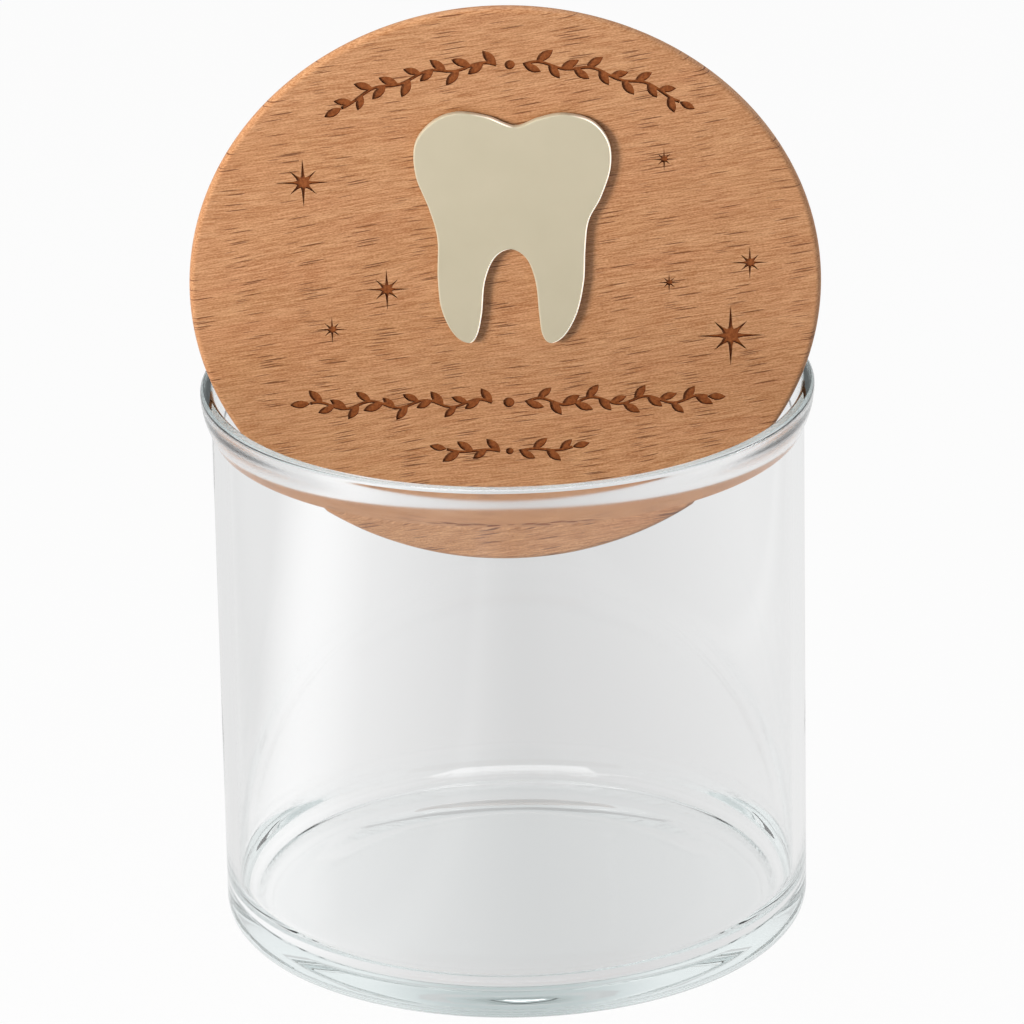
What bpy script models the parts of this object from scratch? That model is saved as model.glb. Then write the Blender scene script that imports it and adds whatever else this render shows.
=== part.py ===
"""Gift jar of clear glass, with its turned beech lid standing upright in the mouth.

Units are metres and +Z is up. The origin is the middle of the jar's foot, on the surface it stands on.
The jar is one turned glass wall. The lid is a turned board with a plug and a groove, a soft ring in
that groove, and a tooth-shaped plate glued on its face. The lid's pieces hang on one empty, which
stands at the middle of the lid and leans as the lid leans, and which travels along +Z.
"""

import math

import bmesh
import bpy

MM = 0.001

# Glass jar
JAR_DIAMETER = 99.5 * MM
JAR_HEIGHT = 96.0 * MM
WALL_THICKNESS = 2.2 * MM
FLOOR_THICKNESS = 4.6 * MM
FOOT_CORNER_RADIUS = 3.5 * MM
FLOOR_CORNER_RADIUS = 6.0 * MM
FOOT_RING_WIDTH = 8.0 * MM
FOOT_HOLLOW_DEPTH = 0.4 * MM
FOOT_HOLLOW_SLOPE = 7.0 * MM

# Flared lip of the jar, with a flat top and rounded edges
LIP_DIAMETER = 103.0 * MM
LIP_THICKNESS = 2.2 * MM
LIP_EDGE_ROUND = 0.7 * MM
FLARE_HEIGHT = 6.5 * MM

# Turned lid
LID_DIAMETER = 105.0 * MM
LID_FACE_ROUND = 1.0 * MM
LID_SIDE_LAND = 0.3 * MM
LID_BACK_BEVEL_WIDTH = 2.0 * MM
LID_BACK_BEVEL_HEIGHT = 3.0 * MM
PLUG_DEPTH = 8.0 * MM
PLUG_CLEARANCE = 1.2 * MM
PLUG_END_CHAMFER = 0.7 * MM

# Groove in the plug and the soft ring that sits in it
GROOVE_WIDTH = 4.0 * MM
GROOVE_DEPTH = 2.0 * MM
GROOVE_SETBACK = 2.0 * MM
RING_CLEARANCE = 0.3 * MM
RING_WALL_CLEARANCE = 0.2 * MM
RING_BACK_THICKNESS = 0.9 * MM
RING_FIN_THICKNESS = 0.7 * MM

# Tooth plate glued on the lid's face
TOOTH_WIDTH = 32.5 * MM
TOOTH_HEIGHT = 43.7 * MM
TOOTH_THICKNESS = 1.0 * MM
TOOTH_EDGE_ROUND = 0.25 * MM
TOOTH_RIGHT_OF_MIDDLE = 1.45 * MM
TOOTH_ABOVE_MIDDLE = 12.1 * MM
GLUE_THICKNESS = 0.3 * MM

# How the lid stands in the mouth
LID_LEAN = math.radians(9.8)
SEAT_FORWARD = 1.49 * MM
SEAT_CLEARANCE = 0.32 * MM

# Faces round the turned pieces, and points along their curves
JAR_SEGMENTS = 90
LID_SEGMENTS = 90
RING_SEGMENTS = 72
CORNER_STEPS = 5
FLARE_STEPS = 6
LIP_STEPS = 4
EDGE_STEPS = 4
TOOTH_STEPS = 4
MERGE_DISTANCE = 0.01 * MM

# Tooth outline from the notch at the top, to the right and round, as shares of its width and height
TOOTH_OUTLINE_SHARES = (
    (0.018, 0.438),
    (0.139, 0.470),
    (0.265, 0.487),
    (0.407, 0.455),
    (0.490, 0.370),
    (0.500, 0.258),
    (0.450, 0.132),
    (0.386, 0.030),
    (0.367, -0.094),
    (0.358, -0.231),
    (0.321, -0.368),
    (0.256, -0.466),
    (0.185, -0.500),
    (0.142, -0.466),
    (0.126, -0.379),
    (0.111, -0.237),
    (0.068, -0.132),
    (-0.012, -0.087),
    (-0.096, -0.123),
    (-0.148, -0.226),
    (-0.167, -0.368),
    (-0.194, -0.460),
    (-0.238, -0.493),
    (-0.312, -0.454),
    (-0.373, -0.345),
    (-0.389, -0.208),
    (-0.386, -0.037),
    (-0.426, 0.096),
    (-0.488, 0.237),
    (-0.488, 0.370),
    (-0.401, 0.461),
    (-0.275, 0.500),
    (-0.123, 0.482),
)

# Sizes that follow from the ones above
JAR_RADIUS = JAR_DIAMETER / 2
INNER_RADIUS = JAR_RADIUS - WALL_THICKNESS
LIP_RADIUS = LIP_DIAMETER / 2
THROAT_RADIUS = LIP_RADIUS - LIP_THICKNESS
LIP_EDGE_HEIGHT = JAR_HEIGHT - LIP_EDGE_ROUND
FLARE_START_HEIGHT = JAR_HEIGHT - FLARE_HEIGHT
LID_RADIUS = LID_DIAMETER / 2
LID_SEAT_DEPTH = LID_SIDE_LAND + LID_BACK_BEVEL_HEIGHT
PLUG_RADIUS = INNER_RADIUS - PLUG_CLEARANCE
GROOVE_RADIUS = PLUG_RADIUS - GROOVE_DEPTH


def clear_scene():
    """Remove whatever the new file holds, so that only the jar is left."""
    for item in list(bpy.data.objects):
        bpy.data.objects.remove(item, do_unlink=True)


def make_material(name, colour, roughness, alpha=1.0, transmission=0.0):
    """Return a surface with one colour, for the material named."""
    material = bpy.data.materials.new(name)
    material.use_nodes = True
    shader = material.node_tree.nodes["Principled BSDF"]
    shader.inputs["Base Color"].default_value = (*colour, 1.0)
    shader.inputs["Roughness"].default_value = roughness
    shader.inputs["Metallic"].default_value = 0.0
    shader.inputs["Alpha"].default_value = alpha
    shader.inputs["Transmission Weight"].default_value = transmission
    return material


def clear_glass():
    """Soda-lime glass with a faint green cast."""
    return make_material("clear_glass", (0.86, 0.93, 0.90), 0.02, transmission=1.0)


def oiled_beech():
    """Beech planed smooth and lightly oiled."""
    return make_material("oiled_beech", (0.56, 0.30, 0.15), 0.5)


def clear_silicone():
    """Milky silicone rubber."""
    return make_material("clear_silicone", (0.78, 0.79, 0.77), 0.35)


def cream_acrylic():
    """Satin cream acrylic of the tooth plate."""
    return make_material("cream_acrylic", (0.58, 0.51, 0.37), 0.4)


def arc(centre, radius, start_degrees, stop_degrees, steps):
    """Return points on an arc, both ends included."""
    points = []
    for step in range(steps + 1):
        share = step / steps
        angle = math.radians(start_degrees + (stop_degrees - start_degrees) * share)
        across = centre[0] + radius * math.cos(angle)
        along = centre[1] + radius * math.sin(angle)
        points.append((across, along))
    return points


def ease(start, stop, steps):
    """Return points of a soft S-shaped slope that leaves and meets its ends upright."""
    points = []
    for step in range(steps + 1):
        share = step / steps
        eased_share = share * share * (3 - 2 * share)
        across = start[0] + (stop[0] - start[0]) * eased_share
        along = start[1] + (stop[1] - start[1]) * share
        points.append((across, along))
    return points


def inner_mouth():
    """Return the inside of the mouth from the lip's top down to where the flare ends."""
    inner_edge = (THROAT_RADIUS + LIP_EDGE_ROUND, LIP_EDGE_HEIGHT)
    rounding = arc(inner_edge, LIP_EDGE_ROUND, 90, 180, LIP_STEPS)
    throat = (THROAT_RADIUS, LIP_EDGE_HEIGHT)
    slope = ease((INNER_RADIUS, FLARE_START_HEIGHT), throat, FLARE_STEPS)
    return rounding + slope[-2::-1]


def outer_mouth():
    """Return the outside of the mouth from the lip's top down to where the flare ends."""
    outer_edge = (LIP_RADIUS - LIP_EDGE_ROUND, LIP_EDGE_HEIGHT)
    rounding = arc(outer_edge, LIP_EDGE_ROUND, 90, 0, LIP_STEPS)
    widest = (LIP_RADIUS, LIP_EDGE_HEIGHT)
    slope = ease((JAR_RADIUS, FLARE_START_HEIGHT), widest, FLARE_STEPS)
    return rounding + slope[-2::-1]


def jar_profile():
    """Return the jar's section, from the middle of the floor up, over the lip and down to the foot."""
    floor_corner = (INNER_RADIUS - FLOOR_CORNER_RADIUS, FLOOR_THICKNESS + FLOOR_CORNER_RADIUS)
    foot_corner = (JAR_RADIUS - FOOT_CORNER_RADIUS, FOOT_CORNER_RADIUS)
    hollow_edge = JAR_RADIUS - FOOT_CORNER_RADIUS - FOOT_RING_WIDTH
    points = [(0, FLOOR_THICKNESS)]
    points += arc(floor_corner, FLOOR_CORNER_RADIUS, -90, 0, CORNER_STEPS)
    points += inner_mouth()[::-1]
    points += outer_mouth()
    points += arc(foot_corner, FOOT_CORNER_RADIUS, 0, -90, CORNER_STEPS)
    points.append((hollow_edge, 0))
    points.append((hollow_edge - FOOT_HOLLOW_SLOPE, FOOT_HOLLOW_DEPTH))
    points.append((0, FOOT_HOLLOW_DEPTH))
    return points


def lid_profile():
    """Return the lid's section from the plug's end up to the face, which looks along +Z.

    The widest circle, where the rounding of the face ends, is at height zero.
    """
    seat = -LID_SEAT_DEPTH
    plug_end = seat - PLUG_DEPTH
    groove_top = seat - GROOVE_SETBACK
    groove_bottom = groove_top - GROOVE_WIDTH
    round_radius = LID_RADIUS - LID_FACE_ROUND
    points = [(0, LID_FACE_ROUND)]
    points += arc((round_radius, 0), LID_FACE_ROUND, 90, 0, EDGE_STEPS)
    points.append((LID_RADIUS, -LID_SIDE_LAND))
    points.append((LID_RADIUS - LID_BACK_BEVEL_WIDTH, seat))
    points.append((PLUG_RADIUS, seat))
    points.append((PLUG_RADIUS, groove_top))
    points.append((GROOVE_RADIUS, groove_top))
    points.append((GROOVE_RADIUS, groove_bottom))
    points.append((PLUG_RADIUS, groove_bottom))
    points.append((PLUG_RADIUS, plug_end + PLUG_END_CHAMFER))
    points.append((PLUG_RADIUS - PLUG_END_CHAMFER, plug_end))
    points.append((0, plug_end))
    return points


def ring_profile():
    """Return the soft ring's closed section: a flat back in the groove and two fins that lean out."""
    groove_top = -LID_SEAT_DEPTH - GROOVE_SETBACK
    top = groove_top - RING_CLEARANCE
    bottom = groove_top - GROOVE_WIDTH + RING_CLEARANCE
    back = GROOVE_RADIUS + RING_CLEARANCE
    front = back + RING_BACK_THICKNESS
    tip = INNER_RADIUS - RING_WALL_CLEARANCE
    middle = (top + bottom) / 2
    points = [(back, top), (front, top)]
    points.append((tip, top))
    points.append((tip, top - RING_FIN_THICKNESS))
    points.append((front, top - RING_FIN_THICKNESS * 1.5))
    points.append((front, middle - RING_FIN_THICKNESS / 4))
    points.append((tip, middle - RING_FIN_THICKNESS / 2))
    points.append((tip, middle - RING_FIN_THICKNESS * 1.5))
    points.append((front, bottom))
    points.append((back, bottom))
    return points


def closed_curve(anchors, steps):
    """Return a smooth closed curve through the anchors."""
    points = []
    count = len(anchors)
    for index in range(count):
        before = anchors[index - 1]
        start = anchors[index]
        stop = anchors[(index + 1) % count]
        after = anchors[(index + 2) % count]
        for step in range(steps):
            share = step / steps
            point = []
            for axis in range(2):
                rise = (stop[axis] - before[axis]) / 2
                leave = (after[axis] - start[axis]) / 2
                cubic = 2 * start[axis] - 2 * stop[axis] + rise + leave
                square = 3 * stop[axis] - 3 * start[axis] - 2 * rise - leave
                point.append(((cubic * share + square) * share + rise) * share + start[axis])
            points.append(tuple(point))
    return points


def tooth_outline():
    """Return the tooth's outline on the lid's face."""
    anchors = []
    for across_share, along_share in TOOTH_OUTLINE_SHARES:
        across = TOOTH_RIGHT_OF_MIDDLE + TOOTH_WIDTH * across_share
        along = TOOTH_ABOVE_MIDDLE + TOOTH_HEIGHT * along_share
        anchors.append((across, along))
    return closed_curve(anchors, TOOTH_STEPS)


def lid_seat():
    """Return where the middle of the lid's widest circle stands when its edge rests in the mouth.

    The lid leans forward, with its widest circle crossing the lip a little before the middle of the
    mouth. It slides down until, at some height of the mouth, the lid is as wide as the glass lets it.
    """
    rise = 0.0
    for radius, height in inner_mouth():
        forward = SEAT_FORWARD - (LIP_EDGE_HEIGHT - height) * math.tan(LID_LEAN)
        half_width = math.sqrt(radius ** 2 - forward ** 2) - SEAT_CLEARANCE
        up_the_lid = (height - LIP_EDGE_HEIGHT) / math.cos(LID_LEAN)
        drop = math.sqrt(max(LID_RADIUS ** 2 - half_width ** 2, 0))
        rise = max(rise, up_the_lid + drop)
    forward = -SEAT_FORWARD - rise * math.sin(LID_LEAN)
    height = LIP_EDGE_HEIGHT + rise * math.cos(LID_LEAN)
    return 0, forward, height


def turn(name, profile, segments, material, closed=False):
    """Turn a section about the Z axis and return the solid."""
    mesh = bpy.data.meshes.new(name)
    edges = [(index, index + 1) for index in range(len(profile) - 1)]
    if closed:
        edges.append((len(profile) - 1, 0))
    mesh.from_pydata([(across, 0, along) for across, along in profile], edges, [])
    mesh.materials.append(material)
    solid = bpy.data.objects.new(name, mesh)
    bpy.context.scene.collection.objects.link(solid)
    screw = solid.modifiers.new("turning", "SCREW")
    screw.axis = "Z"
    screw.angle = math.tau
    screw.steps = segments
    screw.render_steps = segments
    screw.use_merge_vertices = True
    screw.merge_threshold = MERGE_DISTANCE
    screw.use_smooth_shade = True
    return solid


def build_jar():
    """Turn the glass jar."""
    return turn("glass_jar", jar_profile(), JAR_SEGMENTS, clear_glass())


def build_lid():
    """Turn the lid board with its plug."""
    return turn("lid_board", lid_profile(), LID_SEGMENTS, oiled_beech())


def build_ring():
    """Turn the soft ring in the plug's groove."""
    return turn("seal_ring", ring_profile(), RING_SEGMENTS, clear_silicone(), closed=True)


def build_tooth():
    """Cut the tooth plate, with its front edge eased."""
    plate = bmesh.new()
    back = LID_FACE_ROUND + GLUE_THICKNESS
    corners = [plate.verts.new((across, along, back)) for across, along in tooth_outline()]
    bottom = plate.faces.new(corners)
    grown = bmesh.ops.extrude_face_region(plate, geom=[bottom])
    raised = [item for item in grown["geom"] if isinstance(item, bmesh.types.BMVert)]
    bmesh.ops.translate(plate, verts=raised, vec=(0, 0, TOOTH_THICKNESS))
    bmesh.ops.recalc_face_normals(plate, faces=plate.faces)
    front_edges = [edge for edge in plate.edges if all(corner in raised for corner in edge.verts)]
    bmesh.ops.bevel(plate, geom=front_edges, offset=TOOTH_EDGE_ROUND, segments=2, affect="EDGES", profile=0.5)
    mesh = bpy.data.meshes.new("tooth_plate")
    plate.to_mesh(mesh)
    plate.free()
    mesh.materials.append(cream_acrylic())
    mesh.shade_smooth()
    mesh.set_sharp_from_angle(angle=math.radians(35))
    solid = bpy.data.objects.new("tooth_plate", mesh)
    bpy.context.scene.collection.objects.link(solid)
    return solid


def build_lid_carrier():
    """Place the empty that carries the lid's pieces, at the middle of the lid's widest circle."""
    carrier = bpy.data.objects.new("lid_carrier", None)
    carrier.empty_display_size = LID_RADIUS
    carrier.location = lid_seat()
    carrier.rotation_euler = (math.pi / 2 + LID_LEAN, 0, 0)
    bpy.context.scene.collection.objects.link(carrier)
    return carrier


def main():
    """Build the jar and its lid."""
    clear_scene()
    build_jar()
    carrier = build_lid_carrier()
    for piece in (build_lid(), build_ring(), build_tooth()):
        piece.parent = carrier


main()
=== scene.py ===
"""Gift jar of clear glass with a turned beech lid standing in its mouth: dressed model and studio.

Lengths are in metres, +Z is up, and the origin is the middle of the jar's foot, on the surface it
stands on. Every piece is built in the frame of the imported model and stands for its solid.
"""

import logging
import math
from dataclasses import dataclass, field
from enum import Enum
from typing import Any

import bmesh
import bpy
from bmesh.types import BMesh, BMVert
from bpy.types import Material, Mesh, Node, NodeSocket as Socket, NodeTree, Object
from mathutils import Euler, Matrix, Vector
from mathutils.geometry import delaunay_2d_cdt


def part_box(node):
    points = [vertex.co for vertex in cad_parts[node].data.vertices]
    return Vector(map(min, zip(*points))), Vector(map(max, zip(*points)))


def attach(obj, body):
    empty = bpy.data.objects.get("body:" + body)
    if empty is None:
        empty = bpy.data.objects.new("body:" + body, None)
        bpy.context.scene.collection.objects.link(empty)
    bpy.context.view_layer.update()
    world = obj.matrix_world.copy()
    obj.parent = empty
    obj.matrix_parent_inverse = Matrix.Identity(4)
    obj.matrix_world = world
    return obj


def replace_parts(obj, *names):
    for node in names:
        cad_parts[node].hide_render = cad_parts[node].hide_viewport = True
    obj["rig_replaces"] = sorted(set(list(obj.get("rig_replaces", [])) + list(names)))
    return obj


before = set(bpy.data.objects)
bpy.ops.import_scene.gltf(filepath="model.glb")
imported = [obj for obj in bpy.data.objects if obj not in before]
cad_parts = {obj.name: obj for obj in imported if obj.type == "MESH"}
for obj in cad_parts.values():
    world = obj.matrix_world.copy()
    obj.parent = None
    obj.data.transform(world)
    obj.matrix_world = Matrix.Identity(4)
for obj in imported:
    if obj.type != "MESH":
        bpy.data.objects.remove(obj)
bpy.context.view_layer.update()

MM = 0.001
LOG = logging.getLogger("gift_jar")

WHITE = (1.0, 1.0, 1.0, 1.0)
MIX_A, MIX_B, MIX_RESULT = 6, 7, 2
CREASE = math.radians(38)
WELD = 0.002 * MM

Point = tuple[float, float]
Triple = tuple[float, float, float]
Colour = tuple[float, float, float, float]


class Body(Enum):
    """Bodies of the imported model, which the pieces move with."""

    JAR = "jar"
    LID = "lid"


class Slot(Enum):
    """Material slots of the record."""

    GLASS = "clear_glass"
    BEECH = "oiled_beech"
    SILICONE = "clear_silicone"
    ACRYLIC = "cream_acrylic"


class Mark(Enum):
    """Surfaces of the engraved face, in the order of the lid's materials."""

    FACE = 0
    FLOOR = 1
    WALL = 2


class Side(Enum):
    """The way a sprig grows from the middle of the lid."""

    LEFT = -1
    RIGHT = 1


# --- Nodes and colours ---


def linear(code: str) -> Colour:
    """Turn an sRGB hex code into a linear colour.

    Args:
        code: Six hex digits.

    Returns:
        Linear colour with an alpha of one.
    """
    channels = []
    for start in (0, 2, 4):
        value = int(code[start:start + 2], 16) / 255
        channels.append(value / 12.92 if value <= 0.04045 else ((value + 0.055) / 1.055) ** 2.4)
    return (*channels, 1.0)


def linked(name: str, data: Any) -> Object:
    """Make an object.

    Args:
        name: Name of the object.
        data: Its mesh, light or camera.

    Returns:
        The object, linked to the scene.
    """
    made = bpy.data.objects.new(name, data)
    bpy.context.scene.collection.objects.link(made)
    return made


@dataclass(frozen=True)
class Noise:
    """Noise: the size of its cells, its octaves and how much the finer ones weigh."""

    cell: float
    detail: float = 1.0
    roughness: float = 0.5


class Graph:
    """A node tree, with a short call for each kind of node that is used often."""

    def __init__(self, tree: NodeTree) -> None:
        """Empty the tree and keep it."""
        self.tree = tree
        tree.nodes.clear()

    def add(
        self, kind: str, inputs: dict[Any, Any] | None = None, **settings: Any
    ) -> Node:
        """Add one node.

        Args:
            kind: Blender's name of the node type.
            inputs: Plain values, or sockets or nodes to link, by the input's name or index.
            settings: Properties of the node.

        Returns:
            The new node.
        """
        node = self.tree.nodes.new(kind)
        for name, value in settings.items():
            setattr(node, name, value)
        for name, value in (inputs or {}).items():
            if isinstance(value, (Node, Socket)):
                self.link(value, node.inputs[name])
            else:
                node.inputs[name].default_value = value
        return node

    def link(self, source: Node | Socket, target: Socket) -> None:
        """Link a socket, or the first output of a node, to an input."""
        self.tree.links.new(source.outputs[0] if isinstance(source, Node) else source, target)

    def math(self, operation: str, *terms: Any, clamp: bool = False) -> Socket:
        """Calculate with sockets and numbers."""
        inputs = dict(enumerate(terms))
        return self.add("ShaderNodeMath", inputs, operation=operation, use_clamp=clamp).outputs[0]

    def times(self, vector: Socket, scale: Any) -> Socket:
        """Multiply a vector by another, axis by axis."""
        inputs = {0: vector, 1: scale}
        return self.add("ShaderNodeVectorMath", inputs, operation="MULTIPLY").outputs[0]

    def split(self, vector: Socket) -> Any:
        """Split a vector into sockets named X, Y and Z."""
        return self.add("ShaderNodeSeparateXYZ", {0: vector}).outputs

    def vector(self, parts: dict[str, Socket]) -> Socket:
        """Join parts named X, Y and Z into a vector that is zero where none is given."""
        return self.add("ShaderNodeCombineXYZ", parts).outputs[0]

    def noise(self, vector: Socket, kind: Noise) -> Socket:
        """Draw noise from zero to one.

        Args:
            vector: Where it is read.
            kind: Its character.

        Returns:
            Socket with the noise.
        """
        return self.add("ShaderNodeTexNoise", {
            "Vector": vector, "Scale": 1 / kind.cell, "Detail": kind.detail,
            "Roughness": kind.roughness,
        }).outputs["Fac"]

    def remap(
        self, value: Socket, source: Point, target: Point = (0.0, 1.0), **settings: Any
    ) -> Socket:
        """Spread a range of values over another, with what lies outside it clamped.

        Args:
            value: The value.
            source: The range.
            target: What its ends become.
            settings: Properties of the node.

        Returns:
            The new value.
        """
        names = ("Value", "From Min", "From Max", "To Min", "To Max")
        inputs = dict(zip(names, (value, *source, *target)))
        return self.add("ShaderNodeMapRange", inputs, **settings).outputs[0]

    def blend(self, share: Socket, first: Any, second: Any) -> Socket:
        """Blend from one colour to another."""
        inputs = {0: share, MIX_A: first, MIX_B: second}
        return self.add("ShaderNodeMix", inputs, data_type="RGBA").outputs[MIX_RESULT]

    def bump(self, height: Socket, strength: float, distance: float) -> Socket:
        """Turn a height into a normal."""
        inputs = {"Height": height, "Strength": strength, "Distance": distance}
        return self.add("ShaderNodeBump", inputs).outputs["Normal"]

    def either(self, share: Socket, first: Node, second: Node) -> Socket:
        """Blend from one shader to another."""
        inputs = {0: share, 1: first, 2: second}
        return self.add("ShaderNodeMixShader", inputs).outputs[0]


class MaterialGraph(Graph):
    """The node tree of a new material, named after the real one and how it was made."""

    def __init__(self, name: str) -> None:
        """Start the material.

        Args:
            name: Its name.
        """
        self.material = bpy.data.materials.new(name)
        self.material.use_nodes = True
        super().__init__(self.material.node_tree)
        self.output = self.add("ShaderNodeOutputMaterial")
        coordinates = self.add("ShaderNodeTexCoord").outputs
        self.place, self.normal = coordinates["Object"], coordinates["Normal"]

    def finished(self, surface: Node | Socket) -> Material:
        """Put a surface on the material and hand it over."""
        self.link(surface, self.output.inputs["Surface"])
        return self.material

    def coated(self, inputs: dict[str, Any]) -> Material:
        """Put a principled surface on the material and hand it over."""
        return self.finished(self.add("ShaderNodeBsdfPrincipled", inputs))


class GeometryGraph(Graph):
    """A Geometry Nodes tree with named inputs, one of which is its finish."""

    def __init__(self, name: str, sockets: dict[str, str], result: str) -> None:
        """Start the tree.

        Args:
            name: Name of the tree.
            sockets: Kind of socket by the name of the input.
            result: Name of the output.
        """
        tree = bpy.data.node_groups.new(name, "GeometryNodeTree")
        for label, kind in sockets.items():
            tree.interface.new_socket(label, in_out="INPUT", socket_type="NodeSocket" + kind)
        tree.interface.new_socket(result, in_out="OUTPUT", socket_type="NodeSocketGeometry")
        super().__init__(tree)
        self.given = self.add("NodeGroupInput").outputs

    def finished(self, geometry: Node) -> NodeTree:
        """End the tree with one mesh that has its finish.

        Args:
            geometry: Node that made it.

        Returns:
            The tree.
        """
        real = self.add("GeometryNodeRealizeInstances", {"Geometry": geometry})
        inputs = {"Geometry": real, "Material": self.given["Finish"]}
        self.add("NodeGroupOutput", {0: self.add("GeometryNodeSetMaterial", inputs)})
        return self.tree


# --- Finishes ---


@dataclass(frozen=True)
class PressedGlass:
    """Soda-lime glass, pressed and fire-polished: clear, green in its long paths, faintly wavy."""

    index: float = 1.52
    shadow_tint: str = "FDFEFE"
    absorbed: Triple = (1.7, 1.25, 1.25)
    waves: Noise = Noise(14.0 * MM, 1.0, 0.4)
    wave_height: float = 0.02 * MM
    ripple: float = 0.10
    ripple_fade: float = 0.9 * MM

    def build(self, low: float, high: float) -> Material:
        """Make the material.

        Args:
            low: Height where the rippled band under the lip begins.
            high: Height where it ends.

        Returns:
            Glass that lets lamps reach what is behind it.
        """
        graph = MaterialGraph("pressed_soda_lime_glass")
        # Fine ripples from the flaring tool blur what is seen through the band under the lip.
        height = graph.split(graph.place)["Z"]
        rise = graph.remap(height, (low, low + self.ripple_fade), (0.0, self.ripple))
        fall = graph.remap(height, (high, high - self.ripple_fade))
        glass = graph.add("ShaderNodeBsdfPrincipled", {
            "Base Color": WHITE, "IOR": self.index, "Transmission Weight": 1.0,
            "Roughness": graph.math("MULTIPLY", rise, fall),
            "Normal": graph.bump(graph.noise(graph.place, self.waves), 1.0, self.wave_height),
        })
        clear = graph.add("ShaderNodeBsdfTransparent", {"Color": linear(self.shadow_tint)})
        shadow = graph.add("ShaderNodeLightPath").outputs["Is Shadow Ray"]
        # The iron in the glass takes most of the red, per metre, so long paths turn green.
        most = max(self.absorbed)
        tint = (*(1 - share / most for share in self.absorbed), 1.0)
        inside = graph.add("ShaderNodeVolumeAbsorption", {"Color": tint, "Density": most})
        graph.link(inside, graph.output.inputs["Volume"])
        return graph.finished(graph.either(shadow, glass, clear))


@dataclass(frozen=True)
class Figure:
    """Noise in the wood: cells per millimetre along and across the grain, its octaves and their
    weight, and the range of its values that is spread from zero to one."""

    along: float
    across: float
    detail: float = 1.0
    roughness: float = 0.5
    span: Point = (0.0, 1.0)


@dataclass(frozen=True)
class Rays:
    """Wood rays: the share of the cells that show one, the size of a cell as a share of the
    largest, and the reach of the longest ray as a share of its cell."""

    share: float
    size: float
    longest: float


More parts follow.
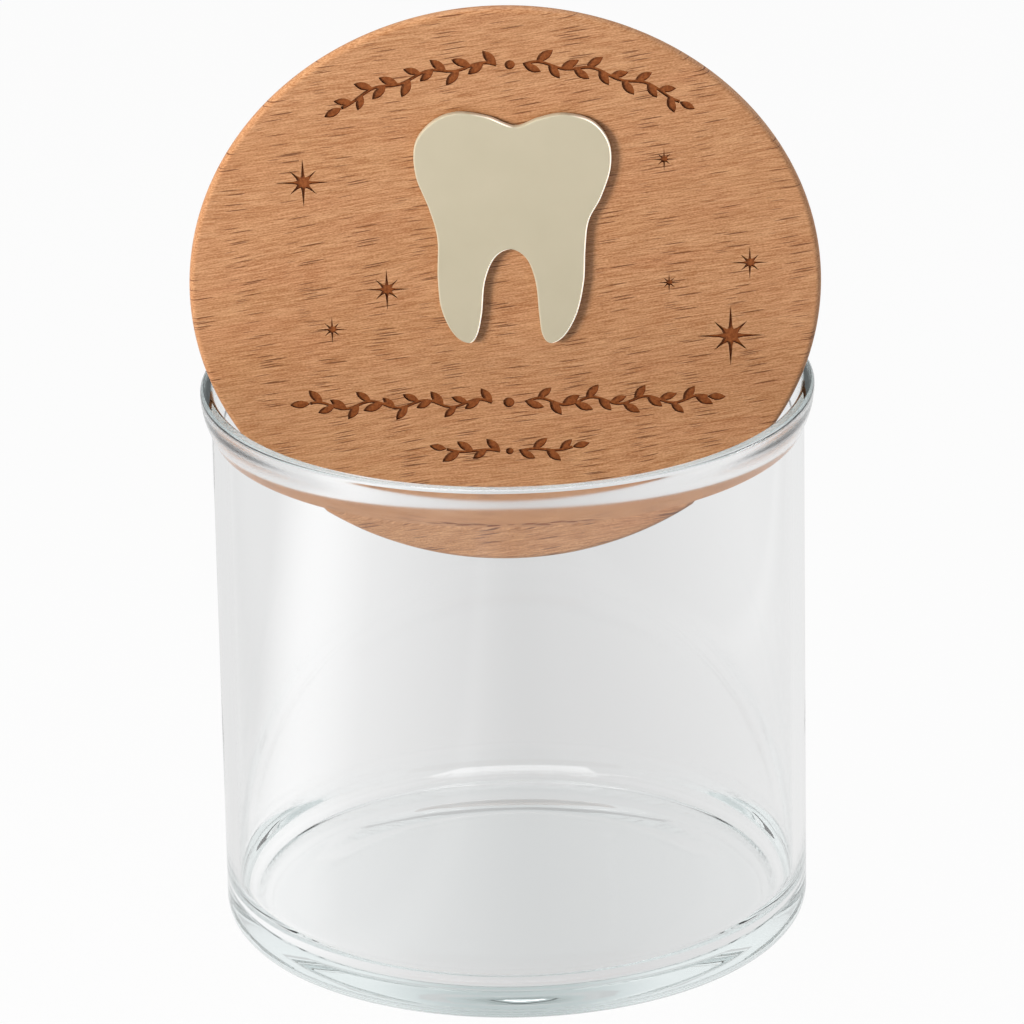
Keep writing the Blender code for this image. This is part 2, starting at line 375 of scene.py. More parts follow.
@dataclass(frozen=True)
class PlanedBeech:
    """Beech, planed, sanded and lightly oiled: a warm satin board with short dark rays."""

    pale: str = "BF8B61"
    ruddy: str = "BA8259"
    straw: str = "BB865B"
    ray: str = "5E2F10"
    fibre_dark: Colour = (0.75, 0.63, 0.50, 1.0)
    # Tint of the light fibres, whitened towards white as painted glints.
    fibre_light_and_glint: Colour = (1.25, 1.38, 1.54, 1.0)
    grain_tilt: float = math.radians(9.0)
    bend: Figure = Figure(0.018, 0.05)
    bend_reach: Point = (-2.2, 2.2)
    bands: Figure = Figure(0.012, 0.26, 3.0, 0.55, (0.32, 0.68))
    patches: Figure = Figure(0.06, 0.16, 2.0, span=(0.35, 0.65))
    fibres: Figure = Figure(0.30, 5.5, 1.0, 0.6, (0.36, 0.64))
    nap: Figure = Figure(2.2, 5.0)
    nap_share: float = 0.4
    ray_length: float = 10.0
    ray_spacing: float = 0.5
    ray_edge: float = 0.3
    ray_strength: float = 0.8
    long_rays: Rays = Rays(0.75, 1.0, 0.26)
    short_rays: Rays = Rays(0.5, 0.55, 0.24)
    short_strength: float = 0.3
    relief: float = 0.5
    relief_depth: float = 0.05 * MM
    gloss_span: Point = (0.3, 0.7)
    roughness: Point = (0.42, 0.56)
    index: float = 1.46

    def grain(self, graph: MaterialGraph, place: Matrix) -> Socket:
        """Give a vector in millimetres whose X runs along the grain.

        Args:
            graph: Nodes of the material.
            place: Where the lid stands.

        Returns:
            The vector.
        """
        board = graph.add("ShaderNodeMapping", {
            "Vector": graph.place, "Location": place.to_translation(),
            "Rotation": place.to_euler(),
        }, vector_type="TEXTURE")
        along = graph.add("ShaderNodeMapping", {
            "Vector": board, "Rotation": (0, 0, -self.grain_tilt),
            "Scale": (1 / MM, 1 / MM, 1 / MM),
        }).outputs[0]
        shift = graph.remap(self.drawn(graph, along, self.bend), self.bend.span, self.bend_reach)
        inputs = {0: along, 1: graph.vector({"Y": shift})}
        return graph.add("ShaderNodeVectorMath", inputs, operation="ADD").outputs[0]

    def drawn(self, graph: Graph, grain: Socket, figure: Figure) -> Socket:
        """Draw noise that is stretched along the grain.

        Args:
            graph: Nodes of the material.
            grain: Vector along the grain.
            figure: Character of the noise.

        Returns:
            The noise.
        """
        stretched = graph.times(grain, (figure.along, figure.across, figure.across))
        return graph.noise(stretched, Noise(1.0, figure.detail, figure.roughness))

    def rays(self, graph: Graph, grain: Socket, kind: Rays) -> Socket:
        """Draw wood rays: short thin dashes along the grain.

        Args:
            graph: Nodes of the material.
            grain: Vector along the grain.
            kind: Character of the rays.

        Returns:
            One on a ray and zero beside it.
        """
        scale = (1 / (self.ray_length * kind.size), 1 / (self.ray_spacing * kind.size), 1.0)
        cells = graph.add(
            "ShaderNodeTexVoronoi",
            {"Vector": graph.times(grain, scale), "Scale": 1.0, "Randomness": 1.0},
            voronoi_dimensions="2D", feature="F1",
        ).outputs
        chance = graph.add("ShaderNodeSeparateColor", {"Color": cells["Color"]}).outputs["Red"]
        reach = graph.remap(chance, (1 - kind.share, 1.0), (0.0, kind.longest))
        depth = graph.math("SUBTRACT", reach, cells["Distance"])
        return graph.remap(depth, (0.0, kind.longest * self.ray_edge))

    def build(self, place: Matrix) -> Material:
        """Make the material.

        Args:
            place: Where the lid stands.

        Returns:
            The board's material.
        """
        graph = MaterialGraph("planed_oiled_beech")
        grain = self.grain(graph, place)
        # Growth bands some millimetres apart, and broader patches of warmer and cooler wood.
        bands = graph.remap(self.drawn(graph, grain, self.bands), self.bands.span)
        patches = graph.remap(self.drawn(graph, grain, self.patches), self.patches.span)
        warm = graph.blend(patches, linear(self.straw), linear(self.ruddy))
        ground = graph.blend(bands, warm, linear(self.pale))
        # Fibres a sixth of a millimetre wide, lighter or darker from the sanding, the light ones
        # whitened as painted glints, and its nap.
        fibres, nap = (self.drawn(graph, grain, kind) for kind in (self.fibres, self.nap))
        fine = graph.add("ShaderNodeMix", {0: self.nap_share, 2: fibres, 3: nap}).outputs[0]
        fine = graph.remap(fine, self.fibres.span)
        fibred = graph.times(ground, graph.blend(fine, self.fibre_dark, self.fibre_light_and_glint))
        short = self.rays(graph, grain, self.short_rays)
        faint = graph.math("MULTIPLY", short, self.short_strength)
        rays = graph.math("MAXIMUM", self.rays(graph, grain, self.long_rays), faint)
        shown = graph.math("MULTIPLY", rays, self.ray_strength)
        height = graph.math("MULTIPLY_ADD", rays, -1.0, fibres)
        return graph.coated({
            "Base Color": graph.blend(shown, fibred, linear(self.ray)),
            "Roughness": graph.remap(fibres, self.gloss_span, self.roughness),
            "Normal": graph.bump(height, self.relief, self.relief_depth),
            "IOR": self.index,
        })


@dataclass(frozen=True)
class ScorchedBeech:
    """Beech burnt by the engraving beam: reddish brown and matt, darker where the beam turned."""

    name: str
    light: str
    dark: str
    char: Noise = Noise(0.5 * MM, 3.0, 0.6)
    char_span: Point = (0.3, 0.7)
    relief: float = 0.6
    relief_depth: float = 0.05 * MM
    roughness: float = 0.8
    index: float = 1.4

    def build(self) -> Material:
        """Make the material.

        Returns:
            The burnt wood.
        """
        graph = MaterialGraph(self.name)
        char = graph.noise(graph.place, self.char)
        share = graph.remap(char, self.char_span)
        return graph.coated({
            "Base Color": graph.blend(share, linear(self.light), linear(self.dark)),
            "Normal": graph.bump(char, self.relief, self.relief_depth),
            "Roughness": self.roughness, "IOR": self.index,
        })


@dataclass(frozen=True)
class CutAcrylic:
    """Cream acrylic sheet, cast and satin: an even soft gloss with a very fine skin, and a painted
    glow on the edges that face +X.
    """

    pale: str = "C9C0A9"
    deep: str = "C0B8A0"
    # Colour of the painted glow on the edges that face +X, in the base colour and as light given
    # off.
    edge: str = "FFF6E6"
    clouds: Noise = Noise(9 * MM, 2.0)
    cloud_span: Point = (0.3, 0.7)
    skin: Noise = Noise(0.35 * MM)
    relief: float = 0.12
    relief_depth: float = 0.02 * MM
    # Which edges carry the painted glow, and how strongly their rounding gives off light.
    painted_glow_way: Triple = (0.99, 0.0, -0.10)
    painted_glow_span: Point = (0.05, 0.3)
    painted_glow_round_span: Point = (-0.2, -0.6)
    painted_glow_strength: float = 0.75
    roughness: Point = (0.30, 0.35)
    index: float = 1.49

    def build(self) -> Material:
        """Make the material.

        Returns:
            The sheet's material.
        """
        graph = MaterialGraph("cast_satin_acrylic")
        clouds = graph.noise(graph.place, self.clouds)
        colour = graph.blend(clouds, linear(self.pale), linear(self.deep))
        # Painted highlight and glow: sides that face +X take the pale edge colour, and their front
        # rounding gives off light as if lit from that side.
        turned = graph.add(
            "ShaderNodeVectorMath", {0: graph.normal, 1: self.painted_glow_way}, operation="DOT_PRODUCT"
        )
        edge = graph.remap(turned.outputs["Value"], self.painted_glow_span)
        height = graph.split(graph.normal)["Y"]
        rounding = graph.remap(height, self.painted_glow_round_span, (0.0, self.painted_glow_strength))
        # The cast skin is finer than a pixel, so it is drawn as coarse as just shows.
        skin = graph.noise(graph.place, self.skin)
        return graph.coated({
            "Base Color": graph.blend(edge, colour, linear(self.edge)),
            "Roughness": graph.remap(clouds, self.cloud_span, self.roughness),
            "Normal": graph.bump(skin, self.relief, self.relief_depth),
            "Emission Strength": graph.math("MULTIPLY", edge, rounding),
            "Emission Color": linear(self.edge), "IOR": self.index,
        })


@dataclass(frozen=True)
class MouldedSilicone:
    """Silicone rubber, moulded: milky and soft, with light inside it and a dull bloom."""

    milk: str = "DDDEDA"
    bloom: str = "CFD1CC"
    clouds: Noise = Noise(3 * MM, 3.0)
    relief: float = 0.2
    relief_depth: float = 0.03 * MM
    roughness: float = 0.42
    index: float = 1.41
    inner_light: float = 0.3
    inner_colour: Triple = (1.0, 1.0, 0.9)
    inner_depth: float = 1.0 * MM

    def build(self) -> Material:
        """Make the material.

        Returns:
            The ring's material.
        """
        graph = MaterialGraph("moulded_silicone")
        clouds = graph.noise(graph.place, self.clouds)
        return graph.coated({
            "Base Color": graph.blend(clouds, linear(self.milk), linear(self.bloom)),
            "Normal": graph.bump(clouds, self.relief, self.relief_depth),
            "Roughness": self.roughness, "IOR": self.index,
            "Subsurface Weight": self.inner_light, "Subsurface Radius": self.inner_colour,
            "Subsurface Scale": self.inner_depth,
        })


# --- Sections and outlines ---


def arc(centre: Point, radius: float, start: float, stop: float, steps: int) -> list[Point]:
    """Draw an arc.

    Args:
        centre: Its middle.
        radius: Its radius.
        start: Angle of the first point, in degrees.
        stop: Angle of the last point.
        steps: Number of steps.

    Returns:
        Points on the arc.
    """
    angles = [math.radians(start + (stop - start) * step / steps) for step in range(steps + 1)]
    return [
        (centre[0] + radius * math.cos(angle), centre[1] + radius * math.sin(angle))
        for angle in angles
    ]


def ease(start: Point, stop: Point, steps: int) -> list[Point]:
    """Draw a soft S-shaped slope that leaves and meets its ends upright.

    Args:
        start: First point.
        stop: Last point.
        steps: Number of steps.

    Returns:
        Points on the slope.
    """
    points = []
    for step in range(steps + 1):
        share = step / steps
        eased = share * share * (3 - 2 * share)
        points.append(
            (start[0] + (stop[0] - start[0]) * eased, start[1] + (stop[1] - start[1]) * share)
        )
    return points


def soften(points: list[Point], corners: dict[int, float], steps: int = 4) -> list[Point]:
    """Round some corners of a section with small parabolas.

    Args:
        points: The section.
        corners: Length to take off beside a corner, by its index.
        steps: Steps in each rounding.

    Returns:
        The rounded section.
    """
    most = 0.49
    softened = []
    for index, here in enumerate(points):
        if index not in corners:
            softened.append(here)
            continue
        corner = Vector(here)
        before = Vector(points[index - 1]) - corner
        after = Vector(points[(index + 1) % len(points)]) - corner
        start = corner + before.normalized() * min(corners[index], before.length * most)
        stop = corner + after.normalized() * min(corners[index], after.length * most)
        for step in range(steps + 1):
            share = step / steps
            near, far = start * (1 - share) ** 2, stop * share ** 2
            softened.append(tuple(near + corner * 2 * share * (1 - share) + far))
    return softened


def closed_curve(anchors: list[Point], steps: int) -> list[Vector]:
    """Draw a smooth closed curve.

    Args:
        anchors: Points that it passes.
        steps: Steps between two anchors.

    Returns:
        Points on the curve.
    """
    points = []
    count = len(anchors)
    for index in range(count):
        before, start, stop, after = (
            Vector(anchors[(index + shift) % count]) for shift in (-1, 0, 1, 2)
        )
        rise, leave = (stop - before) / 2, (after - start) / 2
        cubic = 2 * start - 2 * stop + rise + leave
        square = 3 * stop - 3 * start - 2 * rise - leave
        for step in range(steps):
            share = step / steps
            points.append(((cubic * share + square) * share + rise) * share + start)
    return points


# --- Meshes from Geometry Nodes ---


def wire(name: str, points: list[Triple], closed: bool = False) -> Object:
    """Make an object whose mesh is one run of edges.

    Args:
        name: Name of the object.
        points: Corners of the run.
        closed: Whether it ends where it began.

    Returns:
        The object.
    """
    mesh = bpy.data.meshes.new(name)
    edges = [(index, index + 1) for index in range(len(points) - 1)]
    if closed:
        edges.append((len(points) - 1, 0))
    mesh.from_pydata(points, edges, [])
    return linked(name, mesh)


def grow(
    holder: Object, tree: NodeTree, inputs: dict[str, Any], name: str
) -> Object:
    """Run a Geometry Nodes tree on an object and keep the result as a plain mesh.

    Args:
        holder: Object with the geometry that the tree is given. It is removed.
        tree: The tree.
        inputs: Values by the name of the input.
        name: Name of the new object.

    Returns:
        A new object without a modifier.
    """
    modifier = holder.modifiers.new(tree.name, "NODES")
    modifier.node_group = tree
    for item in tree.interface.items_tree:
        if item.item_type == "SOCKET" and item.in_out == "INPUT" and item.name in inputs:
            modifier[item.identifier] = inputs[item.name]
    bpy.context.view_layer.update()
    seen = holder.evaluated_get(bpy.context.evaluated_depsgraph_get())
    mesh = bpy.data.meshes.new_from_object(seen)
    mesh.name = name
    holder.modifiers.remove(modifier)
    old = holder.data
    bpy.data.objects.remove(holder)
    bpy.data.meshes.remove(old)
    return linked(name, mesh)


def turning_tree() -> NodeTree:
    """Build the tree that turns a section in the XZ plane about the Z axis.

    Returns:
        The tree.
    """
    graph = GeometryGraph("turned_section", {
        "Section": "Geometry", "Steps Round": "Int", "Path Radius": "Float",
        "Weld Distance": "Float", "Finish": "Material",
    }, "Turned Piece")
    given = graph.given
    inward = graph.math("MULTIPLY", given["Path Radius"], -1.0)
    profile = graph.add("GeometryNodeTransform", {
        "Geometry": graph.add("GeometryNodeMeshToCurve", {"Mesh": given["Section"]}),
        "Translation": graph.vector({"X": inward}), "Rotation": Euler((math.pi / 2, 0, 0)),
    })
    path = graph.add(
        "GeometryNodeCurvePrimitiveCircle",
        {"Resolution": given["Steps Round"], "Radius": given["Path Radius"]}, mode="RADIUS",
    )
    sweep = graph.add("GeometryNodeCurveToMesh", {"Curve": path, "Profile Curve": profile})
    inputs = {"Geometry": sweep, "Distance": given["Weld Distance"]}
    return graph.finished(graph.add("GeometryNodeMergeByDistance", inputs))


def scatter_tree() -> NodeTree:
    """Build the tree that sets a copy of a flat mark on each point, sized by the point's span.

    Returns:
        The tree.
    """
    sockets = {"Points": "Geometry", "Mark": "Object", "Finish": "Material"}
    graph = GeometryGraph("scattered_marks", sockets, "Marks")
    mark = graph.add("GeometryNodeObjectInfo", {"Object": graph.given["Mark"], "As Instance": True})
    span = graph.add("GeometryNodeInputNamedAttribute", {"Name": "span"}, data_type="FLOAT")
    copies = graph.add("GeometryNodeInstanceOnPoints", {
        "Points": graph.given["Points"], "Instance": mark.outputs["Geometry"],
        "Scale": span.outputs["Attribute"],
    })
    return graph.finished(copies)


def sprig_tree() -> NodeTree:
    """Build the tree that lays a stem along a path and leaves along the stem, all flat.

    Returns:
        The tree.
    """
    leaf_corners, smallest, largest = 18, 0.86, 1.08
    graph = GeometryGraph("leafy_sprig", {
        "Path": "Geometry", "Stem Width": "Float", "Leaf Length": "Float",
        "Leaf Width": "Float", "Leaf Spacing": "Float", "Leaf Lean": "Float", "Seed": "Int",
        "Finish": "Material",
    }, "Sprig")
    given = graph.given
    path = graph.add("GeometryNodeMeshToCurve", {"Mesh": given["Path"]})
    # Stem: a flat ribbon across the path.
    half = graph.math("MULTIPLY", given["Stem Width"], 0.5)
    left = graph.vector({"X": graph.math("MULTIPLY", half, -1.0)})
    inputs = {"Start": left, "End": graph.vector({"X": half})}
    across = graph.add("GeometryNodeCurvePrimitiveLine", inputs)
    stem = graph.add("GeometryNodeCurveToMesh", {"Curve": path, "Profile Curve": across})
    # Leaf: a circle whose sides are drawn in to two points, with its base at the origin.
    inputs = {"Vertices": leaf_corners, "Radius": 1.0}
    circle = graph.add("GeometryNodeMeshCircle", inputs, fill_type="NGON")
    parts = graph.split(graph.add("GeometryNodeInputPosition"))
    length = graph.math("MULTIPLY", given["Leaf Length"], 0.5)
    breadth = graph.math("MULTIPLY", given["Leaf Width"], 0.5)
    out = graph.math("MULTIPLY_ADD", parts["X"], length, length)
    drawn_in = graph.math("MULTIPLY", parts["Y"], graph.math("ABSOLUTE", parts["Y"]))
    corner = graph.vector({"X": out, "Y": graph.math("MULTIPLY", drawn_in, breadth)})
    leaf = graph.add("GeometryNodeSetPosition", {"Geometry": circle, "Position": corner})
    # Leaves lean to the left and to the right by turns, and the last points along the stem.
    inputs = {"Curve": path, "Length": given["Leaf Spacing"]}
    stations = graph.add("GeometryNodeResampleCurve", inputs, mode="LENGTH")
    tangent = {"Vector": graph.add("GeometryNodeInputTangent")}
    facing = graph.add("FunctionNodeAlignRotationToVector", tangent, axis="X", pivot_axis="Z")
    turn = graph.math("MODULO", graph.add("GeometryNodeInputIndex"), 2.0)
    hand = graph.math("MULTIPLY_ADD", turn, 2.0, -1.0)
    lean = graph.math("MULTIPLY", hand, given["Leaf Lean"])
    tip = graph.add("GeometryNodeCurveEndpointSelection", {"Start Size": 0, "End Size": 1})
    leaning = graph.math("SUBTRACT", 1.0, tip)
    angle = graph.vector({"Z": graph.math("MULTIPLY", lean, leaning)})
    swing = graph.add("FunctionNodeEulerToRotation", {0: angle})
    inputs = {0: facing, 1: swing}
    direction = graph.add("FunctionNodeRotateRotation", inputs, rotation_space="LOCAL")
    inputs = {"Seed": given["Seed"], 2: smallest, 3: largest}
    growth = graph.add("FunctionNodeRandomValue", inputs, data_type="FLOAT")
    leaves = graph.add("GeometryNodeInstanceOnPoints", {
        "Points": stations, "Instance": leaf, "Rotation": direction,
        "Scale": growth.outputs[1],
    })
    together = graph.add("GeometryNodeJoinGeometry", {0: stem})
    graph.link(leaves, together.inputs[0])
    return graph.finished(together)


def face_outwards(work: BMesh) -> None:
    """Point the faces of a closed mesh outwards.

    Args:
        work: The mesh.
    """
    bmesh.ops.recalc_face_normals(work, faces=work.faces)
    if work.calc_volume(signed=True) < 0:
        bmesh.ops.reverse_faces(work, faces=work.faces)


def settle(mesh: Mesh, place: Matrix | None = None, crease: float = CREASE) -> None:
    """Merge doubles, point the faces outwards, shade smooth and put the mesh in its place.

    Args:
        mesh: Closed mesh.
        place: Where it goes, or None to leave it.
        crease: Least angle between faces that shows as a crease.
    """
    work = bmesh.new()
    work.from_mesh(mesh)
    bmesh.ops.remove_doubles(work, verts=work.verts, dist=WELD)
    face_outwards(work)
    if place is not None:
        work.transform(place)
    work.to_mesh(mesh)
    work.free()
    mesh.shade_smooth()
    mesh.set_sharp_from_angle(angle=crease)


@dataclass
class Lathe:
    """Turns sections into closed pieces."""

    steps: int = 288
    path_radius: float = 20.0 * MM
    tree: NodeTree = field(default_factory=turning_tree)

    def turn(
        self, name: str, section: list[Point], finish: Material,
        closed: bool = False, crease: float = CREASE,
    ) -> Object:
        """Turn one section about the Z axis.

        Args:
            name: Name of the piece.
            section: Radius and height of each corner.
            finish: Its material.
            closed: Whether the section closes on itself, away from the axis.
            crease: Least angle between faces that shows as a crease.

        Returns:
            The piece, in its own frame.
        """
        corners = [(radius, 0, height) for radius, height in section]
        piece = grow(wire(name + "_section", corners, closed), self.tree, {
            "Steps Round": self.steps, "Path Radius": self.path_radius, "Weld Distance": WELD,
            "Finish": finish,
        }, name)
        settle(piece.data, crease=crease)
        return piece


# --- Glass jar ---


@dataclass
class GlassJar:
    """The jar: one thin wall of glass, a flared flat-topped lip, and a thick floor on a foot."""

    diameter: float = 99.5 * MM
    height: float = 96.0 * MM
    wall: float = 2.2 * MM
    floor: float = 4.6 * MM
    foot_corner: float = 3.5 * MM
    floor_corner: float = 6.0 * MM
    foot_ring: float = 8.0 * MM
    ring_round: float = 1.2 * MM
    hollow_depth: float = 0.4 * MM
    hollow_slope: float = 7.0 * MM
    hollow_round: float = 2.0 * MM
    lip_diameter: float = 103.0 * MM
    lip_thickness: float = 2.2 * MM
    lip_round: float = 0.7 * MM
    flare_height: float = 7.1 * MM
    flat_margin: float = 1.0 * MM
    floor_steps: int = 14
    foot_steps: int = 12
    ring_steps: int = 6
    lip_steps: int = 10
    flare_steps: int = 24
    crease: float = math.radians(20)
    finish: PressedGlass = field(default_factory=PressedGlass)

    @property
    def inner_radius(self) -> float:
        """Radius of the clear inside of the body."""
        return self.diameter / 2 - self.wall

    @property
    def lip_edge_height(self) -> float:
        """Height where the lip is widest, under the rounding of its top."""
        return self.height - self.lip_round

    def inner_mouth(self, lip_steps: int, flare_steps: int) -> list[Point]:
        """Draw the inside of the mouth.

        Args:
            lip_steps: Steps in the rounding of the lip's top.
            flare_steps: Steps in the flare.

        Returns:
            Points from the lip's top down to where the flare ends.
        """
        throat = self.lip_diameter / 2 - self.lip_thickness
        centre = (throat + self.lip_round, self.lip_edge_height)
        rounding = arc(centre, self.lip_round, 90, 180, lip_steps)
        start = (self.inner_radius, self.height - self.flare_height)
        return rounding + ease(start, (throat, self.lip_edge_height), flare_steps)[-2::-1]

    def bulge(self) -> list[Point]:
        """Draw the outside of the mouth, which bulges and meets the body in a crease.

        Returns:
            Points from the lip's widest down to the crease.
        """
        outer, top = self.diameter / 2, self.lip_edge_height
        reach, drop = self.lip_diameter / 2 - outer, top - (self.height - self.flare_height)
        shares = [step / self.flare_steps for step in range(self.flare_steps + 1)]
        return [(outer + reach * (1 - share ** 2), top - drop * share) for share in shares]

    def section(self) -> list[Point]:
        """Draw the jar's section.

        Returns:
            Points from the middle of the floor up, over the lip and down to the foot.
        """
        outer, inner = self.diameter / 2, self.inner_radius
        hollow = outer - self.foot_corner - self.foot_ring
        # A short step beside each bend keeps the bend's shading off the long flat wall, or
        # the wall's sides would darken.
        margin = self.flat_margin
        below_flare = self.height - self.flare_height - margin
        corner, foot = self.floor_corner, self.foot_corner
        lip_middle = self.lip_diameter / 2 - self.lip_round
        points = [(0.0, self.floor), (inner - corner - margin, self.floor)]
        points += arc((inner - corner, self.floor + corner), corner, -90, 0, self.floor_steps)
        points += [(inner, self.floor + corner + margin), (inner, below_flare)]
        points += self.inner_mouth(self.lip_steps, self.flare_steps)[::-1]
        top = arc((lip_middle, self.lip_edge_height), self.lip_round, 90, 0, self.lip_steps)
        points += top[:-1] + self.bulge() + [(outer, below_flare), (outer, foot + margin)]
        points += arc((outer - foot, foot), foot, 0, -90, self.foot_steps)
        points.append((outer - foot - margin, 0.0))
        edge = len(points)
        points += [
            (hollow, 0.0), (hollow - self.hollow_slope, self.hollow_depth),
            (0.0, self.hollow_depth),
        ]
        corners = {edge: self.ring_round, edge + 1: self.hollow_round}
        return soften(points, corners, self.ring_steps)

    def build(self, lathe: Lathe) -> Object:
        """Turn and dress the jar.

        Args:
            lathe: Turns the section.

        Returns:
            The finished piece.
        """
        finish = self.finish.build(self.height - self.flare_height, self.lip_edge_height)
        piece = lathe.turn("pressed_glass_jar", self.section(), finish, crease=self.crease)
        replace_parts(piece, "glass_jar")
        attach(piece, Body.JAR.value)
        return piece


# --- Engraving on the lid's face ---


@dataclass(frozen=True)
class Star:
    """A star or a berry: its place on the lid's face and its span, in millimetres."""

    across: float
    up: float
    span: float


@dataclass(frozen=True)
class Sprig:
    """A sprig: where its stem starts, its reach, its side, how far it bends down and waves, all
    in millimetres, and the seed of its leaves."""

    across: float
    up: float
    reach: float
    side: Side
    drop: float
    wave: float
    seed: int


@dataclass
class Engraving:
    """Marks burnt into the face: the stars, and leafy sprigs above and below the tooth.

    A ray is its reach, the distance of its shoulders and half its width there, as shares of the
    star's span.
    """

    depth: float = 0.35 * MM
    stem_width: float = 0.55 * MM
    leaf_length: float = 3.3 * MM
    leaf_width: float = 1.5 * MM
    leaf_spacing: float = 2.1 * MM
    leaf_lean: float = math.radians(38)
    stem_steps: int = 48
    stem_wave: float = 9.0 * MM
    rays: int = 8
    straight_ray: Triple = (0.5, 0.16, 0.027)
    slanting_ray: Triple = (0.34, 0.17, 0.023)
    notch: float = 0.115
    berry_corners: int = 20
    least_area: float = 1e-12
    cut_tolerance: float = 1e-4
    stars: tuple[Star, ...] = (
        Star(-33.0, 21.0, 9.2), Star(26.5, 24.1, 4.4), Star(40.6, 4.3, 6.3),
        Star(27.2, 0.8, 4.0), Star(-19.7, 0.5, 7.8), Star(-29.0, -7.0, 5.2),
        Star(37.4, -9.6, 11.6),
    )
    sprigs: tuple[Sprig, ...] = (
        Sprig(-0.8, 42.2, 25.5, Side.LEFT, 7.0, 0.5, 3),
        Sprig(3.6, 42.2, 25.5, Side.RIGHT, 7.0, 0.5, 5),
        Sprig(-2.6, -21.7, 30.5, Side.LEFT, 0.0, 0.7, 7),
        Sprig(3.0, -21.7, 30.5, Side.RIGHT, 0.0, 0.7, 11),
        Sprig(-1.4, -31.2, 9.0, Side.LEFT, -0.6, 0.3, 13),
        Sprig(1.8, -31.2, 9.0, Side.RIGHT, -0.6, 0.3, 17),
    )
    berries: tuple[Star, ...] = (
        Star(1.4, 42.2, 1.7), Star(0.2, -21.7, 1.9), Star(0.2, -31.2, 1.3),
    )

    def star_outline(self) -> list[Point]:
        """Draw a star one unit across.

        Returns:
            Points round the star: straight and slanting rays by turns, with notches between.
        """
        points = []
        step = 360 / self.rays
        for ray in range(self.rays):
            reach, shoulder, half = self.slanting_ray if ray % 2 else self.straight_ray
            aim, notch = math.radians(step * ray), math.radians(step * ray + step / 2)
            for along, beside in ((shoulder, -half), (reach, 0.0), (shoulder, half)):
                points.append((
                    along * math.cos(aim) - beside * math.sin(aim),
                    along * math.sin(aim) + beside * math.cos(aim),
                ))
            points.append((self.notch * math.cos(notch), self.notch * math.sin(notch)))
        return points

    def stem(self, sprig: Sprig) -> list[Triple]:
        """Draw the path of a sprig's stem.

        Args:
            sprig: The sprig.

        Returns:
            Points along the stem, which bends down by its drop and waves a little.
        """
        sizes = (sprig.across, sprig.up, sprig.reach, sprig.drop, sprig.wave)
        start, level, reach, drop, wave = (size * MM for size in sizes)
        points = []
        for step in range(self.stem_steps + 1):
            share = step / self.stem_steps
            swing = math.sin(share * reach / self.stem_wave * math.tau) * wave
            across = start + sprig.side.value * reach * share
            points.append((across, level - drop * share * share + swing, 0.0))
        return points

    def polygons(self, drawn: Object) -> list[list[Point]]:
        """Read the flat faces of a drawn mark and remove it.

        Args:
            drawn: Object whose mesh is flat.

        Returns:
            Corners of each face, turned the same way round.
        """
        faces = []
        mesh = drawn.data
        for face in mesh.polygons:
            if face.area >= self.least_area:
                corners = [mesh.vertices[index].co.to_2d() for index in face.vertices]
                faces.append(corners if face.normal.z > 0 else corners[::-1])
        bpy.data.objects.remove(drawn)
        bpy.data.meshes.remove(mesh)
        return faces

    def scattered(
        self, tree: NodeTree, name: str, outline: list[Point],
        places: tuple[Star, ...], finish: Material,
    ) -> list[list[Point]]:
        """Set one outline on several places.

        Args:
            tree: Tree that sets the copies.
            name: Name of the marks.
            outline: Outline one unit across.
            places: Where the copies go, and their spans.
            finish: Their material.

        Returns:
            Corners of each copy.
        """
        mesh = bpy.data.meshes.new(name)
        mesh.from_pydata([(x, y, 0.0) for x, y in outline], [], [list(range(len(outline)))])
        pattern = linked(name, mesh)
        spots = [(place.across * MM, place.up * MM, 0.0) for place in places]
        holder = wire(name + "_places", spots)
        spans = holder.data.attributes.new("span", "FLOAT", "POINT")
        spans.data.foreach_set("value", [place.span * MM for place in places])
        drawn = grow(holder, tree, {"Mark": pattern, "Finish": finish}, name + "_drawn")
        faces = self.polygons(drawn)
        bpy.data.objects.remove(pattern)
        bpy.data.meshes.remove(mesh)
        return faces

    def outlines(self, finish: Material) -> list[list[Point]]:
        """Draw every mark on the face.

        Args:
            finish: Material of the marks.

        Returns:
            Corners of each flat piece of a mark. Pieces may overlap.
        """
        scatter, sprigs = scatter_tree(), sprig_tree()
        marks = self.scattered(scatter, "star_mark", self.star_outline(), self.stars, finish)
        turns = [math.tau * corner / self.berry_corners for corner in range(self.berry_corners)]
        round_mark = [(0.5 * math.cos(turn), 0.5 * math.sin(turn)) for turn in turns]
        marks += self.scattered(scatter, "berry_mark", round_mark, self.berries, finish)
        for number, sprig in enumerate(self.sprigs):
            holder = wire(f"sprig_path_{number}", self.stem(sprig))
            marks += self.polygons(grow(holder, sprigs, {
                "Stem Width": self.stem_width, "Leaf Length": self.leaf_length,
                "Leaf Width": self.leaf_width, "Leaf Spacing": self.leaf_spacing,
                "Leaf Lean": self.leaf_lean, "Seed": sprig.seed, "Finish": finish,
            }, f"sprig_{number}"))
        return marks

